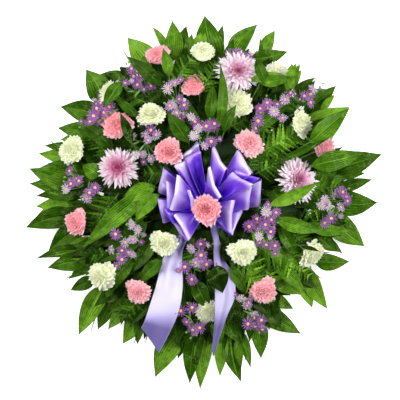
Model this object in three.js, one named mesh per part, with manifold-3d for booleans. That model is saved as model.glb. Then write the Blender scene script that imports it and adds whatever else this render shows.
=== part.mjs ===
// A memorial wreath: a round pad of flower foam in a shallow tray, dressed with palm fronds round
// its edge, carnations, chrysanthemums and aster sprays pushed in over its face, and a ribbon bow
// with two tails at its middle. It lies on its tray. Millimetres: +Z faces the viewer, +Y is the
// wreath's top, and the origin is the middle of the tray's underside.
import * as THREE from "three";
import { mergeVertices } from "three/addons/utils/BufferGeometryUtils.js";
import Module from "manifold-3d";

const wasm = await Module();
wasm.setup();

// ---------------------------------------------------------------- driving dimensions
const GAP = 0.35; // air left between neighbouring pieces
const TRAY = { radius: 211, floor: 3, rim: 20, wall: 3 };
const PAD = { radius: 207, bottom: TRAY.floor + GAP, top: 66, bevel: 6 };
const SPREAD = 330; // radius at which the outermost flowers stand
const CROWN = { middle: 136, edge: 92 }; // height of the flower faces at the middle and at SPREAD
const LEAN = 34; // degrees that a flower at SPREAD leans outwards
// Stems splay: each enters the pad at this share of its flower's distance out, or at its reach.
const STEM = { radius: 2.2, depth: 28, shallow: 11, reach: 186, splay: 0.9 };
const CARNATION = { radius: 31, calyx: 8, neck: 34, dome: 11 };
const MUM = { radius: 43, calyx: 9, neck: 24, dome: 15 };
const ASTER = { radius: 12, cup: 8, stalk: 1.1, stem: 1.9, fork: 76, forkReach: 250, above: 5 };
const LEAF = { thickness: 1.6, keel: 0.06, droop: 5, stalk: 1.1, rachis: 2.4, setBack: 10, stagger: 1.8 };
const LEVELS = [26, 37, 48]; // heights at which the fronds enter the pad's side
const RIBBON = { width: 64, thickness: 1, pinched: 11, gathered: 0.3 };
const KNOT = { at: new THREE.Vector3(7, -12, 116), radius: 9, height: 40, spread: 0.4 };
const SIDES = { pad: 40, bloom: 8, daisy: 5, stem: 6, knot: 10 }; // facets round each turned shape
const PICK = { radius: 1.2, depth: 40, offset: 6 };

// ---------------------------------------------------------------- what goes where, seen from above
// Carnations and chrysanthemums: [x, y], then what differs from the crown: lean in degrees, the
// way it leans in degrees from +X, and lift above the crown.
const PINK_CARNATIONS = [
  { at: [-95, 312] },
  { at: [-18, 247], lift: -12 },
  { at: [-180, 165] },
  { at: [-71, 106], lift: 20, lean: 8 },
  { at: [98, 125], lift: -8 },
  { at: [257, 116] },
  { at: [-266, -41], lean: 40 },
  { at: [-136, -186] },
  { at: [127, -186] },
];
// The carnation whose stem runs down through the bow's gathered middle.
const CENTRE_CARNATION = { at: [7, -14], lift: 38, lean: 0 };
const CREAM_CARNATIONS = [
  { at: [1, 318] },
  { at: [-200, 236], lean: 74, towards: 139 },
  { at: [-108, 186] },
  { at: [73, 208] },
  { at: [158, 272] },
  { at: [210, 166], lean: 48, towards: 10 },
  { at: [-275, 112] },
  { at: [-81, -85] },
  { at: [85, -104] },
  { at: [-213, -154] },
  { at: [232, -108], lean: 60, towards: -35 },
  { at: [12, -228], lift: -10 },
];
const MUMS = [
  { at: [75, 276], lift: 8, lean: 18 },
  { at: [-177, 73], lift: 4, lean: 10 },
  { at: [202, 48], lift: 2, lean: 32, towards: 20 },
];
// Aster sprays: the blooms on each branching stem.
const ASTER_SPRAYS = [
  { blooms: [[-162, 249], [-128, 266], [-111, 260], [-148, 280], [-136, 246]] },
  { blooms: [[-73, 237], [-58, 250], [-68, 202], [-38, 203], [-24, 178], [-54, 187]] },
  { blooms: [[-213, 208], [-195, 200], [-228, 181], [-221, 197], [-206, 188], [-235, 169]] },
  { blooms: [[8, 159], [-9, 154], [25, 164], [18, 127], [4, 118], [-18, 139]] },
  { blooms: [[149, 190], [120, 196], [135, 208], [156, 205], [172, 215], [116, 170], [167, 176]] },
  { blooms: [[-108, 151], [-113, 130], [-96, 141], [-148, 136], [-139, 99], [-107, 91]] },
  { blooms: [[-278, 66], [-258, 45], [-275, 39], [-285, 28], [-224, 31], [-242, 8], [-236, 20]] },
  {
    blooms: [
      [-181, -66], [-161, -83], [-135, -57], [-145, -77], [-190, -99], [-168, -100], [-168, -119],
      [-146, -108],
    ],
  },
  { blooms: [[-24, -96], [-14, -125], [-37, -134], [-22, -160], [-4, -86], [8, -129], [-3, -110]] },
  {
    blooms: [
      [113, -34], [97, -50], [133, -19], [143, -36], [153, -21], [142, -61], [131, -46], [117, -70],
      [133, -88], [151, -90],
    ],
  },
  { blooms: [[247, -7], [289, -10], [269, -33], [254, 6], [303, 3], [293, 22]] },
  { blooms: [[-22, -219], [-46, -226], [-33, -249], [-6, -262], [-20, -266]] },
  { blooms: [[81, -200], [93, -215], [107, -232], [95, -254], [110, -259], [123, -246]] },
  { blooms: [[213, 223], [226, 209], [232, 238]] },
];
// Palm fronds: the level each one enters at and its leaves, [base x, base y, tip x, tip y, width].
const FRONDS = [
  {
    level: 0,
    leaves: [[52, 300, 114, 377, 38], [118, 300, 122, 350, 9], [124, 310, 150, 365, 24],
      [100, 305, 181, 320, 30], [104, 298, 150, 232, 32]],
  },
  {
    level: 1,
    leaves: [[178, 236, 190, 295, 26], [186, 240, 211, 281, 20], [124, 246, 184, 268, 24],
      [188, 232, 240, 265, 15], [205, 205, 260, 240, 26]],
  },
  { level: 0, leaves: [[212, 185, 284, 248, 32], [250, 192, 281, 229, 14], [196, 112, 312, 203, 66]] },
  { level: 1, leaves: [[235, 70, 380, 104, 58], [285, 55, 344, 62, 18], [205, 92, 300, 62, 40]] },
  {
    level: 0,
    leaves: [[280, 24, 360, 49, 24], [275, 5, 370, 0, 38], [250, -38, 341, -93, 52],
      [245, -66, 298, -110, 16]],
  },
  {
    level: 1,
    leaves: [[232, -122, 311, -127, 33], [222, -132, 266, -226, 42], [205, -142, 232, -223, 34]],
  },
  {
    level: 0,
    leaves: [[128, -196, 193, -226, 28], [112, -222, 206, -278, 40], [112, -240, 122, -331, 36],
      [72, -258, 105, -351, 18], [58, -268, 78, -380, 32], [44, -272, 36, -369, 28]],
  },
  { level: 1, leaves: [[18, -250, -5, -396, 40], [-12, -258, -28, -383, 44], [-52, -262, -102, -369, 46]] },
  {
    level: 0,
    leaves: [[-132, -210, -169, -300, 42], [-160, -212, -200, -269, 26], [-178, -180, -222, -270, 36],
      [-212, -170, -264, -282, 46]],
  },
  {
    level: 1,
    leaves: [[-226, -160, -280, -186, 26], [-228, -138, -284, -162, 16], [-232, -118, -326, -140, 30],
      [-236, -100, -351, -118, 16], [-206, -92, -305, -112, 46]],
  },
  {
    level: 0,
    leaves: [[-250, -50, -327, -104, 42], [-262, -22, -375, -53, 36], [-258, -4, -358, -36, 28],
      [-265, 6, -353, -8, 26]],
  },
  { level: 1, leaves: [[-240, 14, -367, 40, 40], [-252, 34, -367, 73, 34], [-244, 58, -352, 70, 40]] },
  {
    level: 0,
    leaves: [[-258, 98, -348, 104, 30], [-265, 116, -335, 121, 20], [-212, 140, -307, 158, 38],
      [-208, 178, -301, 203, 44]],
  },
  {
    level: 2,
    leaves: [[-196, 212, -244, 281, 40], [-150, 250, -226, 266, 36], [-106, 262, -160, 347, 46],
      [-100, 270, -158, 306, 34]],
  },
  {
    level: 1,
    leaves: [[-76, 318, -107, 373, 15], [-66, 296, -64, 385, 36], [-50, 300, -34, 374, 30],
      [-20, 310, 4, 366, 30], [20, 290, 3, 396, 38], [34, 320, 42, 376, 13]],
  },
];
// Bow loops: the middle of each outer fold [x, y, z], the bearing of the ribbon's width in degrees
// from +X, and how far each of the loop's two legs bows away from its middle.
const BOW_LOOPS = [
  { fold: [-30, 108, 100], bearing: 16, bulge: 10 },
  { fold: [96, 66, 98], bearing: -66, bulge: 10 },
  { fold: [104, -2, 100], bearing: 84, bulge: 10 },
  { fold: [-30, -62, 100], bearing: -26, bulge: 10 },
  { fold: [-84, 44, 100], bearing: 70, bulge: 10 },
  { fold: [-34, 88, 127], bearing: 34, bulge: 14 },
  { fold: [46, 92, 127], bearing: -28, bulge: 13 },
  { fold: [92, 16, 128], bearing: 88, bulge: 13 },
  { fold: [52, -46, 129], bearing: 30, bulge: 14 },
  { fold: [-72, -10, 127], bearing: -70, bulge: 13 },
  { fold: [26, 62, 154], bearing: -12, bulge: 14 },
  { fold: [76, 44, 153], bearing: -60, bulge: 13 },
  { fold: [-28, -42, 151], bearing: -34, bulge: 14 },
  { fold: [-54, 26, 155], bearing: 78, bulge: 15 },
];
// Bow tails: the middle line [x, y, z] and the bearing of the ribbon's width along it.
const TAILS = {
  left: {
    line: [[-14, -26, 96], [-40, -72, 92], [-53, -104, 96], [-62, -150, 112], [-78, -200, 123],
      [-95, -252, 114], [-104, -286, 94]],
    bearings: [-30, -24, -20, -18, -18, -20, -22],
    cut: 24,
  },
  right: {
    line: [[24, -28, 98], [25, -58, 103], [31, -86, 107], [37, -124, 115], [42, -160, 125],
      [44, -196, 132], [38, -246, 130], [26, -296, 100]],
    bearings: [-8, -4, 70, 12, -4, -10, -30, -52],
    cut: 10,
  },
};

// ---------------------------------------------------------------- materials
const paint = (color, roughness, metalness = 0) =>
  new THREE.MeshStandardMaterial({ color, roughness, metalness });
const MATERIALS = {
  tray: paint(0x2f4a33, 0.55),
  foam: paint(0x3d6b45, 0.95),
  pinkPetal: paint(0xf4909c, 0.7),
  creamPetal: paint(0xf0f2cf, 0.7),
  mumPetal: paint(0xe6c6e2, 0.7),
  asterPetal: paint(0x8a54b8, 0.7),
  leaf: paint(0x3f7a14, 0.4),
  ribbon: paint(0x8d76d6, 0.3),
  wire: paint(0x4d5a48, 0.4, 0.8),
};

// ---------------------------------------------------------------- solids
// A closed three.js geometry as a manifold-3d solid.
function solidOf(geometry) {
  const bare = geometry.index ? geometry.toNonIndexed() : geometry.clone();
  for (const name of Object.keys(bare.attributes)) {
    if (name !== "position") bare.deleteAttribute(name);
  }
  const merged = mergeVertices(bare, 1e-3);
  const corners = merged.index.array;
  const kept = [];
  for (let i = 0; i < corners.length; i += 3) {
    const [a, b, c] = [corners[i], corners[i + 1], corners[i + 2]];
    if (a !== b && b !== c && c !== a) kept.push(a, b, c);
  }
  return new wasm.Manifold(
    new wasm.Mesh({
      numProp: 3,
      vertProperties: new Float32Array(merged.attributes.position.array),
      triVerts: new Uint32Array(kept),
    }),
  );
}

// A solid as a named mesh. Of solids that touch only in places, the largest body is kept.
function meshOf(solid, name, material) {
  const bodies = solid.decompose().sort((a, b) => b.volume() - a.volume());
  const made = bodies[0].getMesh();
  const positions = new Float32Array(made.numVert * 3);
  for (let i = 0; i < made.numVert; i++) {
    const start = i * made.numProp;
    positions.set(made.vertProperties.subarray(start, start + 3), i * 3);
  }
  const geometry = new THREE.BufferGeometry();
  geometry.setAttribute("position", new THREE.BufferAttribute(positions, 3));
  geometry.setIndex(new THREE.BufferAttribute(new Uint32Array(made.triVerts), 1));
  geometry.computeVertexNormals();
  const mesh = new THREE.Mesh(geometry, material);
  mesh.name = name;
  return mesh;
}

const joined = (solids) => solids.reduce((all, next) => all.add(next));
const Y_AXIS = new THREE.Vector3(0, 1, 0);
const Z_AXIS = new THREE.Vector3(0, 0, 1);
const radians = THREE.MathUtils.degToRad;
const smooth = (t) => t * t * (3 - 2 * t); // eases from 0 to 1

// A straight rod between two points, all of it grown outwards by an air gap.
function rod(from, to, radius, sides, grow) {
  const along = to.clone().sub(from);
  const length = along.length() + 2 * grow;
  const geometry = new THREE.CylinderGeometry(radius + grow, radius + grow, length, sides, 1);
  geometry.applyQuaternion(new THREE.Quaternion().setFromUnitVectors(Y_AXIS, along.clone().normalize()));
  geometry.translate(...from.clone().add(to).multiplyScalar(0.5).toArray());
  return solidOf(geometry);
}

// A turned solid: profile points are [radius, height] along the axis, which starts at a point.
function turned(profile, start, axis, sides) {
  const points = profile.map(([r, h]) => new THREE.Vector2(r, h));
  const geometry = new THREE.LatheGeometry(points, sides);
  geometry.applyQuaternion(new THREE.Quaternion().setFromUnitVectors(Y_AXIS, axis));
  geometry.translate(...start.toArray());
  return solidOf(geometry);
}

// A thin strip: a box whose length, width and thickness follow place(t), which gives the middle
// point, the half-width vector and the thickness vector at t from 0 to 1.
function strip(place, steps, lanes = 1) {
  const geometry = new THREE.BoxGeometry(1, 1, 1, steps, lanes, 1);
  const corner = geometry.attributes.position;
  for (let i = 0; i < corner.count; i++) {
    const [t, across, through] = [corner.getX(i) + 0.5, corner.getY(i) * 2, corner.getZ(i)];
    const { middle, half, thick, keel = 0 } = place(t);
    const point = middle.clone().addScaledVector(half, across).addScaledVector(thick, through);
    point.z += keel * Math.abs(across);
    corner.setXYZ(i, point.x, point.y, point.z);
  }
  return solidOf(geometry);
}

// ---------------------------------------------------------------- base
// A round solid standing on the table's axis, from [radius, height] pairs.
function upright(profile, sides) {
  return turned(profile, new THREE.Vector3(), Z_AXIS, sides);
}

function backingTray() {
  const { radius, floor, rim, wall } = TRAY;
  const profile = [
    [0, 0],
    [radius - 2, 0],
    [radius, 2],
    [radius, rim],
    [radius - wall, rim],
    [radius - wall, floor],
    [0, floor],
  ];
  return upright(profile, SIDES.pad);
}

function foamPad() {
  const { radius, bottom, top, bevel } = PAD;
  const inTray = TRAY.radius - TRAY.wall - 2;
  const profile = [
    [0, bottom],
    [inTray, bottom],
    [inTray, TRAY.rim],
    [radius, TRAY.rim + 2],
    [radius, top - bevel],
    [radius - bevel, top],
    [0, top],
  ];
  return upright(profile, SIDES.pad);
}

// ---------------------------------------------------------------- flowers
const crownHeight = (r) => CROWN.middle - (CROWN.middle - CROWN.edge) * Math.min(1, r / SPREAD) ** 2;

// The unit direction a bloom faces: so many degrees off straight up, on a bearing from +X.
function facing(lean, bearing) {
  const slope = new THREE.Vector3(Math.cos(bearing), Math.sin(bearing), 0);
  return slope.multiplyScalar(Math.sin(lean)).setZ(Math.cos(lean));
}

// The face, axis, neck and root of one flower, from its entry.
function stance(flower, shape) {
  const [x, y] = flower.at;
  const r = Math.hypot(x, y);
  const bearing = flower.towards === undefined ? Math.atan2(y, x) : radians(flower.towards);
  const axis = facing(radians(flower.lean ?? (LEAN * r) / SPREAD), bearing);
  const face = new THREE.Vector3(x, y, crownHeight(r) + (flower.lift ?? 0));
  const neck = face.clone().addScaledVector(axis, -shape.neck);
  const share = Math.min(STEM.splay, STEM.reach / Math.hypot(neck.x, neck.y));
  const depth = share < STEM.splay ? STEM.shallow : STEM.depth; // past the pad it enters near the top edge
  const root = new THREE.Vector3(neck.x * share, neck.y * share, PAD.top - depth);
  return { axis, neck, root };
}

// A bloom turned about its axis, as [radius, height above the neck]: calyx, cup, rim and dome.
function bloomHead({ radius, calyx, neck, dome }, { axis, neck: start }, grow) {
  const profile = [
    [0, -4 - grow],
    [calyx * 0.55 + grow, -4 - grow],
    [calyx + grow, neck * 0.4],
    [radius * 0.82 + grow, neck - radius * 0.45],
    [radius + grow, neck - radius * 0.12],
    [radius * 0.68 + grow, neck + dome * 0.75 + grow],
    [0, neck + dome + grow],
  ];
  return turned(profile, start, axis, SIDES.bloom);
}

function flower(entry, shape, grow = 0) {
  const place = stance(entry, shape);
  return bloomHead(shape, place, grow).add(rod(place.root, place.neck, STEM.radius, SIDES.stem, grow));
}

// A stalk and its daisy turned as one solid, bent at the daisy's foot to face its own way.
function daisy(fork, foot, axis, grow) {
  const stalk = foot.clone().sub(fork);
  const reach = stalk.length();
  const profile = [
    [0, -grow],
    [ASTER.stalk + grow, -grow],
    [ASTER.stalk + grow, reach],
    [ASTER.radius + grow, reach + ASTER.cup - 2],
    [0, reach + ASTER.cup + 2 + grow],
  ];
  const geometry = new THREE.LatheGeometry(profile.map(([r, h]) => new THREE.Vector2(r, h)), SIDES.daisy);
  const stalkTurn = new THREE.Quaternion().setFromUnitVectors(Y_AXIS, stalk.normalize());
  const headTurn = new THREE.Quaternion().setFromUnitVectors(Y_AXIS, axis);
  const corner = geometry.attributes.position;
  for (let i = 0; i < corner.count; i++) {
    const point = new THREE.Vector3().fromBufferAttribute(corner, i);
    if (point.y > reach + 1) {
      point.y -= reach;
      point.applyQuaternion(headTurn).add(foot);
    } else {
      point.applyQuaternion(stalkTurn).add(fork);
    }
    corner.setXYZ(i, ...point.toArray());
  }
  return solidOf(geometry);
}

// A branching stem of asters: one main stem to a fork, and a stalk with a daisy to each place.
function asterSpray({ blooms }, grow = 0) {
  const middle = blooms.reduce((sum, [x, y]) => sum.add(new THREE.Vector3(x, y, 0)), new THREE.Vector3());
  middle.divideScalar(blooms.length);
  const r = middle.length();
  const fork = middle.clone().multiplyScalar(Math.min(1, ASTER.forkReach / r)).setZ(ASTER.fork);
  const root = middle.clone().multiplyScalar(Math.min(STEM.splay, STEM.reach / r));
  root.setZ(PAD.top - STEM.shallow);
  const daisies = blooms.map(([x, y]) => {
    const distance = Math.hypot(x, y);
    const axis = facing(radians((LEAN * distance) / SPREAD), Math.atan2(y, x));
    const face = new THREE.Vector3(x, y, crownHeight(distance) + ASTER.above);
    return daisy(fork, face.addScaledVector(axis, -ASTER.cup), axis, grow);
  });
  return joined([rod(root, fork, ASTER.stem, SIDES.stem, grow), ...daisies]);
}

// ---------------------------------------------------------------- foliage
// How wide a palm leaf is along its length, as a share of its full width.
const leafOutline = (t) => Math.max(0, Math.sin(Math.PI * t ** 0.8)) ** 0.75;

// A leaf and its stalk as one thin strip: the stalk runs from the frond's fork to the leaf's base.
function leaf(fork, [bx, by, tx, ty, width], height, grow) {
  const base = new THREE.Vector3(bx, by, height);
  const along = new THREE.Vector3(tx - bx, ty - by, -LEAF.droop);
  const aside = (v) => new THREE.Vector3(-v.y, v.x, 0).normalize();
  const steps = 5;
  const place = (t) => {
    if (t < 0.1) {
      return {
        middle: fork,
        half: aside(base.clone().sub(fork)).multiplyScalar(LEAF.stalk + grow),
        thick: Z_AXIS.clone().multiplyScalar(2 * LEAF.stalk + 2 * grow),
      };
    }
    const share = THREE.MathUtils.clamp((t * steps - 1) / (steps - 1), 0, 1);
    const half = Math.max(LEAF.stalk, (width / 2) * leafOutline(share)) + grow;
    const thickness = share < 0.1 ? 2 * LEAF.stalk : LEAF.thickness;
    return {
      middle: base.clone().addScaledVector(along, share),
      half: aside(along).multiplyScalar(half),
      thick: Z_AXIS.clone().multiplyScalar(thickness + 2 * grow),
      keel: LEAF.keel * half,
    };
  };
  return strip(place, steps, 2);
}

// One frond: its stalk from the pad to a fork, and its leaves from there.
function frond({ level, leaves }, grow = 0) {
  const height = LEVELS[level];
  const bases = leaves.map(([x, y]) => new THREE.Vector3(x, y, 0));
  const outwards = bases.reduce((sum, base) => sum.add(base), new THREE.Vector3()).normalize();
  const nearest = Math.min(...bases.map((base) => base.length()));
  const reach = Math.max(nearest - LEAF.setBack, PAD.radius + LEAF.setBack);
  const fork = outwards.clone().multiplyScalar(reach).setZ(height);
  const root = outwards.clone().multiplyScalar(PAD.radius - STEM.depth).setZ(height);
  const stalkEnd = fork.clone().addScaledVector(outwards, 2);
  const blades = leaves.map((place, i) => {
    const stagger = i % 2 ? LEAF.stagger : -LEAF.stagger;
    return leaf(fork, place, height + stagger, grow);
  });
  return joined([rod(root, stalkEnd, LEAF.rachis, SIDES.stem, grow), ...blades]);
}

// ---------------------------------------------------------------- bow
// Half of a ribbon loop, from t = start to t = start + 0.5: it leaves the knot, turns over at its
// fold (t = 0.5) and comes back, pinched at the knot.
function loopLeg({ fold, bearing, bulge }, start, grow) {
  const reach = new THREE.Vector3(...fold).sub(KNOT.at);
  const from = KNOT.at.clone().setZ(KNOT.at.z + reach.z * KNOT.spread);
  reach.z *= 1 - KNOT.spread;
  const width = new THREE.Vector3(Math.cos(radians(bearing)), Math.sin(radians(bearing)), 0);
  const apart = width.clone().cross(reach).normalize();
  const line = (t) => {
    const turn = 2 * Math.PI * t;
    const out = 0.03 + (0.97 * (1 - Math.cos(turn))) / 2;
    const side = bulge * Math.sin(turn) * Math.abs(Math.sin(turn / 2));
    return from.clone().addScaledVector(reach, out).addScaledVector(apart, side);
  };
  const place = (s) => {
    const t = start + s / 2;
    const face = line(t + 0.01).sub(line(t - 0.01)).cross(width).normalize();
    const share = smooth(Math.min(1, 1.15 * Math.abs(Math.sin(Math.PI * t)) ** 1.5));
    const half = THREE.MathUtils.lerp(RIBBON.pinched, RIBBON.width, share) / 2 + grow;
    return {
      middle: line(t),
      half: width.clone().multiplyScalar(half),
      thick: face.multiplyScalar(RIBBON.thickness + 2 * grow),
    };
  };
  return strip(place, 5);
}

function bowLoops(grow = 0) {
  const { at, radius, height } = KNOT;
  const low = at.clone().setZ(at.z - height / 2);
  const high = at.clone().setZ(at.z + height / 2);
  const legs = BOW_LOOPS.flatMap((loop) => [loopLeg(loop, 0, grow), loopLeg(loop, 0.5, grow)]);
  return joined([rod(low, high, radius, SIDES.knot, grow), ...legs]);
}

function bowTail({ line, bearings, cut }, grow = 0) {
  const path = new THREE.CatmullRomCurve3(line.map((point) => new THREE.Vector3(...point)));
  const bearingAt = (t) => {
    const along = t * (bearings.length - 1);
    const i = Math.min(bearings.length - 2, Math.floor(along));
    return radians(THREE.MathUtils.lerp(bearings[i], bearings[i + 1], along - i));
  };
  const place = (t) => {
    const tangent = path.getTangent(t);
    const bearing = bearingAt(t);
    const width = new THREE.Vector3(Math.cos(bearing), Math.sin(bearing), 0);
    width.addScaledVector(tangent, -width.dot(tangent)).normalize();
    const half = (RIBBON.width * Math.min(1, RIBBON.gathered + 5 * t)) / 2 + grow;
    const thick = tangent.clone().cross(width).normalize();
    const slant = t > 0.99 ? cut : 0; // the end is cut across at a slant
    return {
      middle: path.getPoint(t),
      half: width.multiplyScalar(half).addScaledVector(tangent, slant),
      thick: thick.multiplyScalar(RIBBON.thickness + 2 * grow),
    };
  };
  return strip(place, 14);
}

// The wire pick under the knot, pushed into the pad.
function bowTie(grow = 0) {
  const top = KNOT.at.clone().add(new THREE.Vector3(0, PICK.offset, -KNOT.height / 2 - GAP));
  const foot = top.clone().setZ(PAD.top - PICK.depth);
  return rod(foot, top, PICK.radius, SIDES.stem, grow);
}

// ---------------------------------------------------------------- assembly
const wreath = new THREE.Group();
wreath.name = "memorial_wreath";

// Pieces that already stand, each grown by the air gap: a later piece gives way around them.
const standing = [];

function meets(a, b) {
  const [p, q] = [a.boundingBox(), b.boundingBox()];
  return [0, 1, 2].every((i) => p.min[i] < q.max[i] && q.min[i] < p.max[i]);
}

function add(name, material, make) {
  let solid = make(0);
  for (const other of standing) {
    if (meets(solid, other)) solid = solid.subtract(other);
  }
  standing.push(make(GAP));
  wreath.add(meshOf(solid, name, material.clone()));
}

function addAll(name, material, entries, make) {
  entries.forEach((entry, i) => {
    add(`${name}_${String(i + 1).padStart(2, "0")}`, material, (grow) => make(entry, grow));
  });
}

const carnation = (entry, grow) => flower(entry, CARNATION, grow);

add("backing_tray", MATERIALS.tray, backingTray);
add("centre_carnation", MATERIALS.pinkPetal, (grow) => carnation(CENTRE_CARNATION, grow));
add("bow_loops", MATERIALS.ribbon, bowLoops);
add("bow_tie", MATERIALS.wire, bowTie);
add("ribbon_tail_left", MATERIALS.ribbon, (grow) => bowTail(TAILS.left, grow));
add("ribbon_tail_right", MATERIALS.ribbon, (grow) => bowTail(TAILS.right, grow));
addAll("palm_frond", MATERIALS.leaf, FRONDS, frond);
addAll("aster_spray", MATERIALS.asterPetal, ASTER_SPRAYS, asterSpray);
addAll("chrysanthemum", MATERIALS.mumPetal, MUMS, (entry, grow) => flower(entry, MUM, grow));
addAll("pink_carnation", MATERIALS.pinkPetal, PINK_CARNATIONS, carnation);
addAll("cream_carnation", MATERIALS.creamPetal, CREAM_CARNATIONS, carnation);
add("foam_pad", MATERIALS.foam, foamPad);

export default wreath;
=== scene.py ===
import math
import random
import bpy
import bmesh
from mathutils import Matrix, Vector


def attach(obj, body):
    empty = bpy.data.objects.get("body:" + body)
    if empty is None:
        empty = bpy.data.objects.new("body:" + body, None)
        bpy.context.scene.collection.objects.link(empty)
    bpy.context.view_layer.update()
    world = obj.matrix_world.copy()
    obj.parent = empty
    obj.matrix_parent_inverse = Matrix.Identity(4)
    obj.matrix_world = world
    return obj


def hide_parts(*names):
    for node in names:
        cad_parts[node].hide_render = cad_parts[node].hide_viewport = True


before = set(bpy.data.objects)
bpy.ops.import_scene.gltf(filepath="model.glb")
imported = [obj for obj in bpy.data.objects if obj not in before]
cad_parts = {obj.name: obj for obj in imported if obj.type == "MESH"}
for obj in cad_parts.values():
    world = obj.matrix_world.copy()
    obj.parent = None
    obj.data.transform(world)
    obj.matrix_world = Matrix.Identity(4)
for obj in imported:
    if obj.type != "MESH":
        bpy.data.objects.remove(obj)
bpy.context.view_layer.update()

MM = 0.001
UP = Vector((0, 0, 1))

# ---------------------------------------------------------------- the wreath's own sizes, in mm
PETAL_THICKNESS = 0.35
LEAF_THICKNESS = 0.5
RIBBON_THICKNESS = 0.45
RIBBON_WIDTH = 64
STEM_RADIUS = 2.0
PAD_TOP = 66
PAD_RADIUS = 207
# How high in the foam the stems end that no CAD node has.
STEM_FOOT = PAD_TOP - 14
# The turned CAD heads: ring radius and drop from each head's tip to the ring of points round it.
CARNATION_RING = (21.08, 2.75)
MUM_RING = (29.24, 3.75)
ASTER_RING = (12.0, 4.0)
CARNATION_DOME = 11
MUM_DOME = 15
ASTER_DOME = 2
# Heights at which the fronds enter the pad's side, and how far their leaves are staggered.
LEVELS = (26, 37, 48)
STAGGER = 1.8
# Where each kind of piece starts its run of seeds, so that no two pieces share one.
SEEDS = {
    "pink": 10, "cream": 30, "mum": 60, "aster": 80, "loose": 120,
    "frond": 400, "inner": 500, "filler": 600, "fern": 700, "spikes": 900,
}


# ---------------------------------------------------------------- materials
def finish(name, roughness, specular=0.5):
    """A named material with its shader, ready for its pattern."""
    material = bpy.data.materials.new(name)
    material.use_nodes = True
    shader = material.node_tree.nodes["Principled BSDF"]
    shader.inputs["Roughness"].default_value = roughness
    shader.inputs["Specular IOR Level"].default_value = specular
    return material, shader


class Pattern:
    """Short names for the nodes of one material."""

    def __init__(self, material, shader):
        self.tree = material.node_tree
        self.shader = shader

    def node(self, kind, **values):
        made = self.tree.nodes.new(kind)
        for key, value in values.items():
            setattr(made, key, value)
        return made

    def join(self, out, into):
        self.tree.links.new(out, into)

    def attribute(self, name):
        return self.node("ShaderNodeAttribute", attribute_name=name).outputs["Fac"]

    def object_place(self):
        return self.node("ShaderNodeTexCoord").outputs["Object"]

    def across_and_along(self):
        place = self.node("ShaderNodeTexCoord").outputs["UV"]
        split = self.node("ShaderNodeSeparateXYZ")
        self.join(place, split.inputs[0])
        return split.outputs[0], split.outputs[1]

    def math(self, operation, first, second=None):
        made = self.node("ShaderNodeMath", operation=operation)
        for socket, value in zip(made.inputs, (first, second)):
            if value is None:
                continue
            if isinstance(value, (int, float)):
                socket.default_value = value
            else:
                self.join(value, socket)
        return made.outputs[0]

    def swing(self, value, amount):
        """A value from 0 to 1, made to swing about nothing by an amount."""
        return self.math("MULTIPLY", self.math("SUBTRACT", value, 0.5), amount)

    def off_middle(self, value):
        """How far a value is from a half."""
        return self.math("ABSOLUTE", self.math("SUBTRACT", value, 0.5))

    def waves(self, value, rate):
        return self.math("SINE", self.math("MULTIPLY", value, rate))

    def total(self, first, *others):
        for other in others:
            first = self.math("ADD", first, other)
        return first

    def capped(self, value):
        return self.math("MINIMUM", value, 1.0)

    def noise(self, scale, detail=3.0, roughness=0.5):
        made = self.node("ShaderNodeTexNoise")
        made.inputs["Scale"].default_value = scale
        made.inputs["Detail"].default_value = detail
        made.inputs["Roughness"].default_value = roughness
        self.join(self.object_place(), made.inputs["Vector"])
        return made.outputs["Fac"]

    def ramp(self, factor, *stops):
        made = self.node("ShaderNodeValToRGB")
        points = made.color_ramp.elements
        while len(points) < len(stops):
            points.new(0.5)
        for point, (position, colour) in zip(points, stops):
            point.position = position
            point.color = (*colour, 1)
        self.join(factor, made.inputs[0])
        return made.outputs[0]

    def mix(self, factor, first, second):
        made = self.node("ShaderNodeMix", data_type="RGBA")
        sockets = made.inputs[0], made.inputs[6], made.inputs[7]
        for socket, value in zip(sockets, (factor, first, second)):
            if isinstance(value, (int, float)):
                socket.default_value = value
            elif isinstance(value, tuple):
                socket.default_value = (*value, 1)
            else:
                self.join(value, socket)
        return made.outputs[2]

    def bump(self, height, strength, distance):
        made = self.node("ShaderNodeBump")
        made.inputs["Strength"].default_value = strength
        made.inputs["Distance"].default_value = distance
        self.join(height, made.inputs["Height"])
        self.join(made.outputs[0], self.shader.inputs["Normal"])

    def colour(self, out):
        self.join(out, self.shader.inputs["Base Color"])

    def roughness(self, out, low, high):
        made = self.node("ShaderNodeMapRange")
        made.inputs["To Min"].default_value = low
        made.inputs["To Max"].default_value = high
        self.join(out, made.inputs["Value"])
        self.join(made.outputs[0], self.shader.inputs["Roughness"])


def petal_finish(name, heart, middle, edge, vein_depth):
    """A soft petal: tint runs from the flower's heart to its edge, with fine veins and mottling."""
    material, shader = finish(name, 0.62, 0.25)
    shader.inputs["Sheen Weight"].default_value = 0.15
    shader.inputs["Sheen Roughness"].default_value = 0.5
    shader.inputs["Subsurface Weight"].default_value = 0.5
    shader.inputs["Subsurface Radius"].default_value = (1.0, 0.8, 0.7)
    shader.inputs["Subsurface Scale"].default_value = 0.007
    p = Pattern(material, shader)
    across, _ = p.across_and_along()
    mottle = p.noise(160, 4)
    tint = p.total(p.attribute("tint"), p.swing(mottle, 0.25))
    base = p.ramp(tint, (0.05, heart), (0.5, middle), (0.95, edge))
    p.colour(p.mix(p.math("MULTIPLY", p.attribute("shade"), 0.35), base, heart))
    veins = p.math("MULTIPLY", p.waves(across, 75.0), 0.5)
    p.bump(p.total(veins, p.noise(420, 2)), vein_depth, 0.0004)
    p.roughness(mottle, 0.5, 0.75)
    return material


# The pale green of the painted highlight streaks on the leaves.
PAINTED_GLINT = (0.2, 0.34, 0.1)
MIDRIB_HALF_WIDTH = 0.022


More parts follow.
